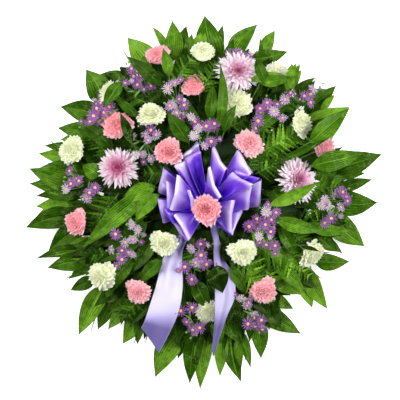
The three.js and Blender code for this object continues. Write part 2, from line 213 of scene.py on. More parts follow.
def leaf_finish(name, dark, fresh, light, roughness, veins_across):
    """A glossy leaf with parallel veins, a pale midrib, blotches of fresher green and painted highlight
    streaks.
    """
    material, shader = finish(name, roughness, 0.2)
    shader.inputs["Specular Tint"].default_value = (0.6, 1, 0.12, 1)
    shader.inputs["Coat Weight"].default_value = 0.03
    shader.inputs["Coat Roughness"].default_value = 0.1
    p = Pattern(material, shader)
    across, _ = p.across_and_along()
    shade = p.attribute("shade")
    blotch = p.noise(26, 3)
    mottle = p.noise(95, 2)
    fine = p.noise(240, 3)
    # Thin creases where a field of soft noise crosses its middle, in patches only: they carry a little
    # relief and are painted as pale highlight streaks.
    crease = p.math("SUBTRACT", 1.0, p.capped(p.math("MULTIPLY", p.off_middle(p.noise(60, 2)), 26.0)))
    patch = p.capped(p.math("MAXIMUM", p.swing(p.noise(30, 1), 9.0), 0.0))
    crease = p.math("MULTIPLY", crease, patch)
    wave = p.waves(across, veins_across * math.tau)
    veins = p.math("MULTIPLY", wave, 0.12)
    tone = p.total(shade, p.swing(blotch, 0.7), veins, p.swing(mottle, 0.6), p.swing(fine, 0.3))
    base = p.ramp(tone, (0.05, dark), (0.55, fresh), (1.0, light))
    # Painted highlight: the creases are mixed towards a pale green glint.
    base = p.mix(p.math("MULTIPLY", crease, 0.3), base, PAINTED_GLINT)
    off_rib = p.off_middle(across)
    rib = p.math("LESS_THAN", off_rib, MIDRIB_HALF_WIDTH)
    # The pale midrib fades out where the leaf's shade is low, so that leaves painted in shade stay dark.
    p.colour(p.mix(p.math("MULTIPLY", rib, p.math("MINIMUM", shade, 0.5)), base, light))
    groove = p.capped(p.math("MULTIPLY", off_rib, 14.0))
    relief = ((wave, 0.28), (groove, 0.9), (fine, 0.25), (mottle, 1.2), (crease, 0.7))
    p.bump(p.total(*(p.math("MULTIPLY", field, depth) for field, depth in relief)), 0.8, 0.0006)
    p.roughness(fine, roughness - 0.08, roughness + 0.14)
    return material


# Where the ribbon's woven edge begins, as a share of its width from its middle.
SELVEDGE = 0.475


def satin_finish(name, deep, mid, light, roughness, gloss):
    """Satin: its colour painted by the tint that its piece gives, from painted shade where it is gathered
    to a painted sheen along the folds; woven ribs.
    """
    material, shader = finish(name, roughness, 0.9)
    shader.inputs["Metallic"].default_value = 0.3 * gloss
    shader.inputs["Anisotropic"].default_value = 0.3
    shader.inputs["Coat Weight"].default_value = gloss
    shader.inputs["Coat Roughness"].default_value = 0.3
    p = Pattern(material, shader)
    across, along = p.across_and_along()
    cloud = p.noise(30, 3)
    tone = p.total(p.attribute("tint"), p.swing(cloud, 0.2))
    base = p.ramp(tone, (0.1, deep), (0.5, mid), (0.95, light))
    selvedge = p.math("GREATER_THAN", p.off_middle(across), SELVEDGE)
    p.colour(p.mix(p.math("MULTIPLY", selvedge, 0.3), base, light))
    ribs = p.math("MULTIPLY", p.waves(along, 900.0), 0.5)
    threads = p.math("MULTIPLY", p.waves(across, 260.0), 0.25)
    p.bump(p.total(ribs, threads), 0.06, 0.0002)
    p.roughness(cloud, roughness - 0.04, roughness + 0.06)
    return material


def speckled_finish(name, low, high, roughness, scale, depth):
    """A grainy surface: florets, foam, moulded plastic or a stem's skin."""
    material, shader = finish(name, roughness, 0.35)
    p = Pattern(material, shader)
    coarse = p.noise(scale, 5, 0.65)
    p.colour(p.ramp(coarse, (0.3, low), (0.7, high)))
    p.bump(p.noise(scale * 3, 4), depth, 0.0006)
    p.roughness(coarse, roughness - 0.1, roughness + 0.1)
    return material


PINK = petal_finish("pink_petal", (0.96, 0.16, 0.21), (0.98, 0.34, 0.39), (1.0, 0.62, 0.65), 0.35)
CREAM = petal_finish("cream_petal", (0.75, 0.81, 0.38), (0.87, 0.89, 0.58), (0.93, 0.94, 0.77), 0.35)
LILAC_RAY = petal_finish("lilac_ray", (0.46, 0.04, 0.17), (0.77, 0.46, 0.6), (0.91, 0.78, 0.84), 0.25)
ASTER_RAY = petal_finish("aster_ray", (0.17, 0.016, 0.23), (0.38, 0.12, 0.44), (0.84, 0.7, 0.82), 0.25)
ASTER_EYE = speckled_finish("aster_eye", (0.5, 0.27, 0.04), (0.82, 0.64, 0.24), 0.7, 900, 0.8)
CALYX = speckled_finish("calyx_green", (0.08, 0.2, 0.04), (0.2, 0.38, 0.1), 0.5, 120, 0.3)
STEM = speckled_finish("stem_green", (0.05, 0.14, 0.02), (0.14, 0.3, 0.05), 0.5, 150, 0.3)
PALM = leaf_finish("palm_leaf", (0.0025, 0.012, 0.0008), (0.026, 0.09, 0.002), (0.14, 0.3, 0.02), 0.28, 9)
FERN = leaf_finish("fern_leaf", (0.006, 0.026, 0.002), (0.045, 0.145, 0.004), (0.2, 0.4, 0.03), 0.42, 3)
SATIN = satin_finish(
    "satin_ribbon", (0.055, 0.0, 0.52), (0.19, 0.06, 0.6), (0.56, 0.44, 0.84), 0.3, 0.42)
# The ribbon's back, lining the insides of the loops: a darker copy of the satin, painted shade.
SATIN_SHADED_INSIDE = satin_finish(
    "satin_shaded_inside", (0.05, 0.0, 0.45), (0.08, 0.002, 0.52), (0.15, 0.04, 0.6), 0.36, 0.3)
# The tails' satin, duller and greyer than the bow's; its ramp runs from painted shade to painted
# highlight.
TAIL_SATIN = satin_finish(
    "tail_satin", (0.12, 0.095, 0.3), (0.32, 0.27, 0.56), (0.48, 0.45, 0.66), 0.5, 0.06)
# The foam is painted far darker than green floral foam: painted shade where it shows between the leaves.
SHADED_FOAM = speckled_finish("flower_foam_shaded", (0.012, 0.035, 0.008), (0.03, 0.07, 0.016), 0.9, 260, 0.9)
TRAY = speckled_finish("tray_plastic", (0.02, 0.055, 0.028), (0.032, 0.08, 0.04), 0.45, 60, 0.12)
WIRE = speckled_finish("pick_wire", (0.06, 0.09, 0.05), (0.12, 0.16, 0.1), 0.4, 200, 0.3)
WIRE.node_tree.nodes["Principled BSDF"].inputs["Metallic"].default_value = 0.8


# ---------------------------------------------------------------- building helpers
class Shape:
    """A bmesh with the layers that the materials read: uv, tint (heart to edge on flowers, painted light
    and shade on the ribbon) and shade.
    """

    def __init__(self):
        self.bm = bmesh.new()
        self.uv = self.bm.loops.layers.uv.new("UVMap")
        self.tint = self.bm.verts.layers.float.new("tint")
        self.shade = self.bm.verts.layers.float.new("shade")
        self.push = self.bm.verts.layers.float_vector.new("push")

    def grid(self, columns, rows, place, slot=0, shade=0.5):
        """A sheet: place(a, t) gives a point and its tint, with a from -1 to 1 and t from 0 to 1."""
        made = bmesh.ops.create_grid(
            self.bm, x_segments=columns, y_segments=rows, size=0.5, calc_uvs=True
        )
        for v in made["verts"]:
            point, tint = place(2 * v.co.x, v.co.y + 0.5)
            v.co = point
            v[self.tint] = tint
            v[self.shade] = shade
        for face in {f for v in made["verts"] for f in v.link_faces}:
            face.material_index = slot
            face.smooth = True
        return made["verts"]

    def thicken(self, thickness, inside=None):
        """Gives every sheet made so far its thickness; inside is the slot of its other face."""
        self.bm.normal_update()
        for v in self.bm.verts:
            v[self.push] = v.normal
        made = bmesh.ops.extrude_face_region(self.bm, geom=self.bm.faces[:], use_keep_orig=True)
        for item in made["geom"]:
            if isinstance(item, bmesh.types.BMVert):
                item.co -= item[self.push] * thickness * MM
            elif inside is not None and isinstance(item, bmesh.types.BMFace):
                item.material_index = inside

    def rod(self, start, end, first, last, sides, slot):
        """A tapered stalk between two points, with radii in mm."""
        along = end - start
        turn = UP.rotation_difference(along.normalized()).to_matrix().to_4x4()
        made = bmesh.ops.create_cone(
            self.bm, cap_ends=True, segments=sides, radius1=first * MM, radius2=last * MM,
            depth=along.length, matrix=Matrix.Translation((start + end) / 2) @ turn,
        )
        self.dress(made["verts"], slot, 0.5)

    def ball(self, centre, radius, flatness, axis, slot, rings, sides, shade=0.5):
        """A flattened ball that faces along an axis."""
        turn = UP.rotation_difference(axis).to_matrix().to_4x4()
        squash = Matrix.Diagonal((1, 1, flatness, 1))
        made = bmesh.ops.create_uvsphere(
            self.bm, u_segments=sides, v_segments=rings, radius=radius * MM,
            matrix=Matrix.Translation(centre) @ turn @ squash,
        )
        self.dress(made["verts"], slot, shade)

    def dress(self, verts, slot, shade):
        """Gives stalks and balls the slot, tint and shade that their material reads."""
        for v in verts:
            v[self.tint] = 0.5
            v[self.shade] = shade
        for face in {f for v in verts for f in v.link_faces}:
            face.material_index = slot
            face.smooth = True

    def piece(self, name, materials, node=None, crease=55):
        """The finished object, riding on the wreath and standing for its CAD node."""
        bmesh.ops.recalc_face_normals(self.bm, faces=self.bm.faces[:])
        self.bm.verts.layers.float_vector.remove(self.push)
        mesh = bpy.data.meshes.new(name)
        self.bm.to_mesh(mesh)
        self.bm.free()
        for material in materials:
            mesh.materials.append(material)
        mesh.set_sharp_from_angle(angle=math.radians(crease))
        made = bpy.data.objects.new(name, mesh)
        bpy.context.scene.collection.objects.link(made)
        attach(made, "root")
        if node:
            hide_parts(node)
        return made


def frame_of(axis, turn):
    """A rotation whose Z is the axis, turned about it."""
    return UP.rotation_difference(axis).to_matrix() @ Matrix.Rotation(turn, 3, "Z")


def lerp(a, b, t):
    return a + (b - a) * t


def clamp(value, low=0.0, high=1.0):
    return max(low, min(high, value))


def bezier(points, t):
    """A point on a curve with two ends and one handle."""
    a, b, c = points
    return (1 - t) ** 2 * a + 2 * t * (1 - t) * b + t * t * c


def through(points, t):
    """A point at t from 0 to 1 on a smooth line through the points."""
    count = len(points) - 1
    i = min(count - 1, int(t * count))
    s = t * count - i
    before = points[max(0, i - 1)]
    after = points[min(count, i + 2)]
    a, b = points[i], points[i + 1]
    return 0.5 * (
        2 * a + (b - before) * s + (2 * before - 5 * a + 4 * b - after) * s * s
        + (3 * a - before - 3 * b + after) * s ** 3
    )


# ---------------------------------------------------------------- reading the CAD nodes
# How far a ring point's distance from its head's tip may be off, in metres.
SPOKE_SLACK = 0.00006


def head_places(node, ring):
    """(tip, axis) of each turned head in a CAD node, found from the ring of points round its tip."""
    radius, drop = (value * MM for value in ring)
    spoke = math.hypot(radius, drop)
    bm = bmesh.new()
    bm.from_mesh(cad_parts[node].data)
    bmesh.ops.remove_doubles(bm, verts=bm.verts[:], dist=0.00001)
    found = []
    for v in bm.verts:
        edges = [e for e in v.link_edges if abs(e.calc_length() - spoke) < SPOKE_SLACK]
        if len(edges) < 3:
            continue
        spokes = [e.other_vert(v).co - v.co for e in edges]
        total = Matrix(((0, 0, 0), (0, 0, 0), (0, 0, 0)))
        wanted = Vector((0, 0, 0))
        for s in spokes:
            total += Matrix([[s[i] * s[j] for j in range(3)] for i in range(3)])
            wanted -= drop * s
        if abs(total.determinant()) < 1e-18:
            continue
        axis = total.inverted() @ wanted
        if axis.z > 0 and abs(axis.length - 1) < 0.05:
            found.append((v.co.copy(), axis.normalized()))
    bm.free()
    return found


def stem_root(node):
    """The middle of the lowest points of a node, where its stem ends in the foam."""
    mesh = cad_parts[node].data
    low = min(v.co.z for v in mesh.vertices)
    ends = [v.co for v in mesh.vertices if v.co.z < low + 3 * MM]
    return sum(ends, Vector()) / len(ends)


def on_bloom(face, turn, size, flat):
    """Returns what puts a spot on a flower's own axes, in mm, in its place on the wreath."""

    def place(spot):
        aside = turn @ (spot * size * MM)
        aside.y *= flat
        return face + aside

    return place


# ---------------------------------------------------------------- carnations
# Whorls of petals from the outside in: how many, how far they reach, how high their edge stands
# over the face, how wide they are and how deep their ruffle is, in mm, and how upright they stand.
CARNATION_WHORLS = (
    (6, 33, -5, 34, 3.2, 0.0),
    (6, 29, 0.5, 31, 3.8, 0.1),
    (7, 24.5, 4.5, 27, 4.2, 0.3),
    (7, 19.5, 7.5, 23, 4.4, 0.5),
    (7, 14, 10, 20, 4.2, 0.6),
    (5, 8.5, 12, 17, 3.8, 0.7),
    (3, 3.5, 13, 13, 3.0, 0.8),
)
PETAL_COLUMNS = 16
# The green cup under the petals: how far below the face its mouth and foot are, and their radii.
CUP_MOUTH, CUP_FOOT = 14, 30
CUP_MOUTH_RADIUS, CUP_FOOT_RADIUS = 9.5, 5.5


def carnation_petal(shape, place, turn, whorl, outline, rng, pale):
    """One fan-shaped petal with a frilled, pinked edge, spread flat or standing up."""
    _, reach, height, width, ruffle, upright = whorl
    reach *= outline * rng.uniform(0.84, 1.12)
    height += rng.uniform(-2.5, 2)
    width *= rng.uniform(0.85, 1.15)
    upright = clamp(upright + rng.uniform(-0.15, 0.15))
    handle = Vector((reach * lerp(0.45, 0.98, upright), lerp(height + 1, -9, upright)))
    line = (Vector((1.5, -19)), handle, Vector((reach, height)))
    folds = rng.uniform(2.2, 3.4)
    phase, second, notch = (rng.uniform(0, math.tau) for _ in range(3))
    skew = rng.uniform(-0.35, 0.35) * upright
    spin = Matrix.Rotation(turn, 3, "Z")

    def point(a, t):
        edge = t ** 1.5
        tooth = math.cos(round((a + 1) * PETAL_COLUMNS / 2) * math.pi)
        pinked = 0.014 * tooth if t > 0.99 else 0
        lobe = 0.11 * t * t * math.sin(1.9 * math.pi * a + notch) ** 2
        along = t * (1 - 0.08 * a * a - 0.14 * a ** 4 - lobe + pinked)
        r, z = bezier(line, along)
        side = width / 2 * a * (0.2 + 0.8 * t ** 0.75)
        wave = ruffle * edge * math.sin(a * math.pi * folds + phase + 0.9 * math.sin(3 * t + second))
        wave += 0.45 * ruffle * edge * math.sin(a * math.pi * folds * 1.9 + second)
        r += wave * lerp(0.1, 0.9, upright) - side * side / (2.6 * max(reach, 12)) + skew * side
        z += wave * lerp(0.85, 0.3, upright)
        spot = spin @ Vector((r, side, z))
        tint = clamp(0.05 + pale + 0.32 * math.hypot(r, side) / 32 + 0.6 * t ** 3)
        return place(spot), tint

    shape.grid(PETAL_COLUMNS, 5, point, 0, rng.uniform(0, 1 - 2 * pale))


def carnation(node, material, slot, seed, size, flat, pale):
    """A carnation's whorls of petals, its cup and its stem, on the CAD node's head."""
    rng = random.Random(seed)
    (tip, axis), = head_places(node, CARNATION_RING)
    face = tip - axis * CARNATION_DOME * MM
    place = on_bloom(face, frame_of(axis, rng.uniform(0, math.tau)), size, flat)
    shape = Shape()
    oval, lobed = rng.uniform(0, math.tau), rng.uniform(0, math.tau)
    for whorl in CARNATION_WHORLS:
        count = whorl[0]
        start = rng.uniform(0, math.tau)
        for i in range(count):
            angle = start + math.tau * (i + rng.uniform(-0.18, 0.18)) / count
            outline = 1 + 0.07 * math.cos(2 * angle + oval) + 0.09 * math.cos(3 * angle + lobed)
            carnation_petal(shape, place, angle, whorl, outline, rng, pale)
    shape.thicken(PETAL_THICKNESS)
    shape.ball(face - axis * 6 * MM, 22, 0.5, axis, 0, rings=8, sides=16, shade=0.1)
    cup = face - axis * CUP_FOOT * MM
    shape.rod(cup, face - axis * CUP_MOUTH * MM, CUP_FOOT_RADIUS, CUP_MOUTH_RADIUS, 10, 1)
    shape.rod(cup - axis * 5 * MM, cup, 3.2, 6.2, 10, 1)
    shape.rod(stem_root(node), cup - axis * 4 * MM, STEM_RADIUS, STEM_RADIUS, 8, 2)
    return shape.piece(f"{node}_bloom", (material, CALYX, STEM), node)


# ---------------------------------------------------------------- chrysanthemums
# Whorls of rays from the outside in: how many, how long, and how steeply they rise in degrees.
MUM_WHORLS = (
    (26, 43, -7),
    (30, 41, 2),
    (30, 37, 10),
    (28, 32, 19),
    (26, 26, 29),
    (22, 20, 41),
    (18, 15, 54),
    (14, 11, 68),
    (8, 8, 82),
)


# Where along a ray its blunt end begins.
RAY_SHOULDER = 0.74


def mum_ray(shape, place, turn, length, rise, rng, blush):
    """One narrow, channelled ray, cupped up at its sides and curling at its tip."""
    width = rng.uniform(4.2, 5.8)
    length *= rng.uniform(0.86, 1.05)
    curl = rng.uniform(-0.1, 0.28)
    sway = rng.uniform(-0.12, 0.12)
    spin = Matrix.Rotation(turn, 3, "Z")
    climb = math.radians(rise)

    def point(a, t):
        past = max(0.0, (t - RAY_SHOULDER) / (1 - RAY_SHOULDER))
        blunt = math.sqrt(clamp(1 - past ** 2, 0.03))
        half = width / 2 * (0.45 + 0.55 * math.sin(math.pi * min(t, 0.5))) * blunt
        out = 2 + length * t
        r = out * math.cos(climb)
        z = out * math.sin(climb) - 7 + length * curl * t * t * 0.5 + 0.9 * a * a * (1 - 0.4 * t)
        side = half * a + sway * length * t * t
        spot = spin @ Vector((r, side, z))
        return place(spot), clamp(math.hypot(r, side) / 32) ** (0.85 + blush)

    shape.grid(2, 7, point, 0, blush * rng.uniform(0, 1))


def chrysanthemum(node, seed, blush, size, flat):
    """A chrysanthemum's rings of rays, its green back and its stem, on the CAD node's head."""
    rng = random.Random(seed)
    (tip, axis), = head_places(node, MUM_RING)
    face = tip - axis * MUM_DOME * MM
    place = on_bloom(face, frame_of(axis, rng.uniform(0, math.tau)), size, flat)
    shape = Shape()
    for count, length, rise in MUM_WHORLS:
        start = rng.uniform(0, math.tau)
        for i in range(count):
            angle = start + math.tau * (i + rng.uniform(-0.25, 0.25)) / count
            mum_ray(shape, place, angle, length, rise + rng.uniform(-6, 6), rng, blush)
    shape.thicken(PETAL_THICKNESS)
    shape.ball(face - axis * 8 * MM, 11, 0.5, axis, 1, rings=8, sides=16)
    shape.rod(stem_root(node), face - axis * 10 * MM, STEM_RADIUS, STEM_RADIUS * 1.3, 8, 2)
    return shape.piece(f"{node}_bloom", (LILAC_RAY, CALYX, STEM), node)


# ---------------------------------------------------------------- asters
# A common daisy's rays and eye, before its own size is applied.
RAY_LENGTH = 8.4
EYE_RADIUS = 2.9
# How high a spray forks, and how far below a daisy's face its stalk swells.
SPRAY_FORK = 76
NECK = 10
# The oval that the bow fills: its middle (x, y), then half its width and height.
BOW_MIDDLE = (7, 22)
BOW_REACH = (114, 108)


def aster_bloom(shape, face, axis, size, deep, rng):
    """A small daisy: narrow rays round a domed yellow eye."""
    turn = frame_of(axis, rng.uniform(0, math.tau))
    count = rng.randint(14, 18)
    for i in range(count):
        spin = Matrix.Rotation(math.tau * (i + rng.uniform(-0.2, 0.2)) / count, 3, "Z")
        length = RAY_LENGTH * size * rng.uniform(0.8, 1.15)
        droop = rng.uniform(-2.6, 2.2)

        def point(a, t):
            half = size * 0.82 * math.sin(math.pi * (0.2 + 0.7 * t))
            spot = spin @ Vector((2.6 * size + length * t, half * a, 0.6 + droop * t * t))
            return face + turn @ (spot * MM), lerp(0.66, 0.02, deep) + 0.45 * t

        shape.grid(1, 3, point, 0, 0.7 * deep)


def clear_of_bow(spot):
    """Whether a daisy stands outside the oval that the bow fills."""
    across, along = ((spot[i] / MM - BOW_MIDDLE[i]) / BOW_REACH[i] for i in range(2))
    return math.hypot(across, along) > 1


def daisies_beside(heads, rng):
    """More daisies a little way from the heads and below them."""
    more = []
    for tip, axis in heads:
        angle = rng.uniform(0, math.tau)
        aside = Vector((math.cos(angle), math.sin(angle), 0)) * rng.uniform(15, 20) * MM
        if rng.random() < 0.75 and clear_of_bow(tip + aside):
            drop = UP * rng.uniform(2, 11) * MM
            more.append((tip + aside - drop, (axis + aside * 14).normalized()))
        if rng.random() < 0.2 and clear_of_bow(tip - aside):
            drop = UP * rng.uniform(6, 13) * MM
            more.append((tip - aside * 0.9 - drop, (axis - aside * 14).normalized()))
    return more


def narrow_leaves(shape, fork, heads, rng):
    """One small leaf on the branch to each head."""
    for tip, _ in heads:
        start = fork.lerp(tip, rng.uniform(0.3, 0.75))
        angle = rng.uniform(0, math.tau)
        way = Vector((math.cos(angle), math.sin(angle), rng.uniform(-0.1, 0.5)))
        reach = way * rng.uniform(14, 24) * MM
        blade(shape, start, start + reach, 4.2, 2, 0.1, rng.uniform(0.2, 0.8), rng, 1, (2, 5))


def branch(shape, fork, neck, top):
    """A bent stalk from the fork to a daisy's back, with its calyx."""
    shape.rod(neck, top, 1.0, 2.3, 6, 3)
    bend = fork.lerp(neck, 0.6) + UP * 4 * MM
    shape.rod(fork, bend, 1.1, 0.9, 6, 3)
    shape.rod(bend, neck, 0.9, 0.8, 6, 3)


def bud_beside(shape, face, tilt, rng):
    """A closed bud on a side shoot of a daisy's stalk."""
    way = Vector((rng.uniform(-1, 1), rng.uniform(-1, 1), 0)).normalized()
    bud = face + way * rng.uniform(10, 16) * MM - UP * rng.uniform(0, 5) * MM
    shape.rod(face - tilt * 12 * MM, bud, 0.6, 0.7, 5, 3)
    shape.ball(bud, 2.3, 1.3, tilt, 1, rings=6, sides=8, shade=0.9)


def daisy_stem(name, node, root, heads, rng, pale):
    """A branching stem with a daisy at each head, some more beside them, buds and narrow leaves."""
    middle = sum((tip for tip, _ in heads), Vector()) / len(heads)
    fork = Vector((middle.x, middle.y, 0)) * min(1.0, 0.25 / math.hypot(middle.x, middle.y))
    fork.z = SPRAY_FORK * MM
    shape = Shape()
    blooms = []
    for number, (tip, axis) in enumerate(heads + daisies_beside(heads, rng)):
        deep = rng.uniform(0.7, 1.0) if rng.random() > pale else rng.uniform(0.0, 0.4)
        size = rng.uniform(1.05, 1.35) if deep > 0.5 else rng.uniform(0.85, 1.2)
        if number >= len(heads):
            size *= rng.choice((0.55, 0.8, 0.9))
        face = tip - axis * ASTER_DOME * MM
        tilt = (axis + Vector((rng.uniform(-0.6, 0.6), rng.uniform(-0.6, 0.6), 0.1))).normalized()
        aster_bloom(shape, face, tilt, size, deep, rng)
        blooms.append((face, tilt, size))
    narrow_leaves(shape, fork, heads, rng)
    shape.thicken(PETAL_THICKNESS)
    for face, tilt, size in blooms:
        shape.ball(face + tilt * 0.4 * MM, EYE_RADIUS * size, 0.6, tilt, 2, rings=6, sides=10)
        branch(shape, fork, face - tilt * NECK * MM, face - tilt * MM)
    for _ in heads:
        face, tilt, _ = blooms[rng.randrange(len(blooms))]
        bud_beside(shape, face, tilt, rng)
    shape.rod(root, fork, 1.8, 1.5, 8, 3)
    return shape.piece(name, (ASTER_RAY, CALYX, ASTER_EYE, STEM), node)


def aster_spray(node, seed, pale):
    """The daisies of one CAD spray; pale is the share of them that are nearly white."""
    heads = head_places(node, ASTER_RING)
    heads.sort(key=lambda head: (round(head[0].x, 4), round(head[0].y, 4)))
    return daisy_stem(f"{node}_flowers", node, stem_root(node), heads, random.Random(seed), pale)


# Two loose sprigs of daisies that no CAD spray holds: where their stem stands, then their heads.
LOOSE_SPRIGS = (
    ((60, 190), ((86, 306, 96), (99, 302, 98), (76, 314, 92), (58, 312, 90))),
    ((170, 80), ((286, 22, 96), (302, 12, 92))),
)


def loose_sprig(number, foot, spots):
    """A sprig of daisies that all lean away from the middle of the wreath."""
    axis = Vector((spots[0][0], spots[0][1], 600)).normalized()
    heads = [(Vector(spot) * MM, axis) for spot in spots]
    root = Vector((*foot, STEM_FOOT)) * MM
    rng = random.Random(SEEDS["loose"] + number)
    return daisy_stem(f"loose_daisies_{number}", None, root, heads, rng, 0.3)


# ---------------------------------------------------------------- leaves
# Where along a palm leaf it is widest.
WIDEST = 0.38


def leaf_outline(t):
    """How wide a palm leaf is along its length: full below the middle, drawn out to a fine tip."""
    if t < WIDEST:
        return math.sin(math.pi * t / (2 * WIDEST)) ** 0.8
    return max(0.0, 1 - ((t - WIDEST) / (1 - WIDEST)) ** 1.9) ** 1.12


def blade(shape, base, tip, width, rise, fold, shade, rng, slot=0, cells=(8, 16), twist=0.0):
    """A pointed leaf from its base to its tip, arched by rise, folded along its midrib."""
    along = tip - base
    flat = Vector((along.x, along.y, 0))
    side = Vector((-flat.y, flat.x, 0)).normalized()
    phase = rng.uniform(0, math.tau)
    waver = rng.uniform(0.3, 1.0) * width * 0.06
    bow = rng.uniform(-0.08, 0.08) * along.length

    def point(a, t):
        half = max(0.35, width / 2 * leaf_outline(t)) * MM
        turned = twist * (0.3 + 0.7 * t)
        across = side * math.cos(turned) + UP * math.sin(turned)
        lift = -side * math.sin(turned) + UP * math.cos(turned)
        spot = base + along * t + UP * (rise * MM * math.sin(math.pi * t ** 0.8))
        spot += side * bow * math.sin(math.pi * t)
        ripple = waver * abs(a) * math.sin(t * 11 + phase + (0 if a < 0 else 2)) * math.sin(math.pi * t)
        pleat = 0.22 * math.cos(a * 14) * math.sin(math.pi * t)
        rib = -0.5 * math.exp(-(a / 0.12) ** 2) * math.sin(math.pi * t)
        height = fold * abs(a) ** 0.85 * half / MM + ripple + pleat + rib
        return spot + across * half * a + lift * height * MM, 0.5

    return shape.grid(*cells, point, slot, shade)


# The leaves of each CAD frond: level, then base, tip and width, in mm.
FRONDS = (
    (0, (56, 300, 117, 378, 36), (118, 300, 122, 350, 9), (130, 310, 154, 365, 26),
     (100, 305, 181, 320, 30), (104, 298, 150, 232, 32)),
    (1, (178, 236, 190, 295, 26), (184, 240, 210, 281, 18), (124, 246, 184, 268, 24),
     (188, 232, 240, 265, 15), (205, 205, 260, 240, 26)),
    (0, (212, 185, 284, 248, 32), (250, 192, 281, 229, 14), (196, 112, 312, 203, 66)),
    (1, (235, 62, 380, 102, 54), (285, 55, 344, 62, 18), (205, 92, 300, 62, 40)),
    (0, (280, 24, 360, 49, 24), (270, 8, 371, 0, 48), (260, -22, 344, -93, 50),
     (245, -66, 298, -110, 16)),
    (1, (232, -120, 311, -125, 33), (217, -133, 265, -226, 34), (205, -142, 232, -223, 34)),
    (0, (128, -196, 193, -226, 28), (112, -222, 208, -278, 40), (112, -240, 124, -331, 34),
     (66, -258, 102, -351, 22), (56, -268, 82, -380, 34), (46, -272, 37, -369, 26)),
    (1, (16, -250, -5, -396, 35), (-8, -258, -27, -383, 36), (-40, -262, -100, -370, 48)),
    (0, (-132, -210, -169, -300, 42), (-160, -212, -200, -269, 26),
     (-178, -180, -222, -270, 36), (-207, -172, -263, -282, 40)),
    (1, (-226, -160, -280, -186, 26), (-228, -138, -284, -162, 16),
     (-232, -118, -328, -138, 36), (-236, -102, -351, -118, 24), (-206, -92, -305, -112, 46)),
    (0, (-250, -50, -327, -104, 42), (-262, -26, -375, -53, 42), (-258, -4, -358, -36, 28),
     (-262, 5, -353, -8, 33)),
    (1, (-240, 14, -367, 40, 40), (-252, 36, -367, 72, 42), (-244, 58, -352, 70, 40)),
    (0, (-258, 98, -348, 104, 30), (-265, 116, -335, 121, 20), (-212, 140, -307, 158, 38),
     (-208, 178, -301, 203, 44)),
    (2, (-208, 206, -246, 281, 48), (-150, 250, -226, 266, 36), (-96, 268, -159, 349, 50),
     (-100, 270, -158, 306, 34)),
    (1, (-76, 318, -107, 373, 15), (-66, 296, -64, 385, 36), (-50, 300, -34, 374, 30),
     (-20, 310, 4, 366, 30), (32, 292, 5, 396, 54), (36, 320, 43, 376, 17)),
)
# How far a frond's fork stands back from its leaves, and how deep its stem goes into the pad.
FROND_SET_BACK = 10
FROND_DEPTH = 28


def palm_frond(number, level, leaves):
    """A frond's leaves on short stalks from one stem, as its CAD node has them."""
    rng = random.Random(SEEDS["frond"] + number)
    height = LEVELS[level]
    bases = [Vector((x, y, 0)) for x, y, *_ in leaves]
    outwards = sum(bases, Vector()).normalized()
    reach = max(min(b.length for b in bases) - FROND_SET_BACK, PAD_RADIUS + FROND_SET_BACK)
    fork = (outwards * reach + UP * height) * MM
    shape = Shape()
    stalks = []
    for i, (bx, by, tx, ty, width) in enumerate(leaves):
        stagger = STAGGER if i % 2 else -STAGGER
        base = Vector((bx, by, height + stagger)) * MM
        tip = Vector((tx, ty, height + stagger - 5)) * MM
        shade = rng.uniform(0.3, 0.95)
        blade(shape, base, tip, width * 1.12, rng.uniform(4, 9), rng.uniform(0.14, 0.34), shade, rng,
              twist=rng.uniform(-0.2, 0.2))
        stalks.append(base.lerp(tip, 0.03))
    shape.thicken(LEAF_THICKNESS)
    for end in stalks:
        shape.rod(fork, end, 1.5, 0.9, 6, 1)
    pushed_in = (outwards * (PAD_RADIUS - FROND_DEPTH) + UP * height) * MM
    shape.rod(pushed_in, fork + outwards * 2 * MM, 2.3, 1.9, 8, 1)
    node = f"palm_frond_{number:02d}"
    return shape.piece(f"palm_frond_leaves_{number:02d}", (PALM, STEM), node)
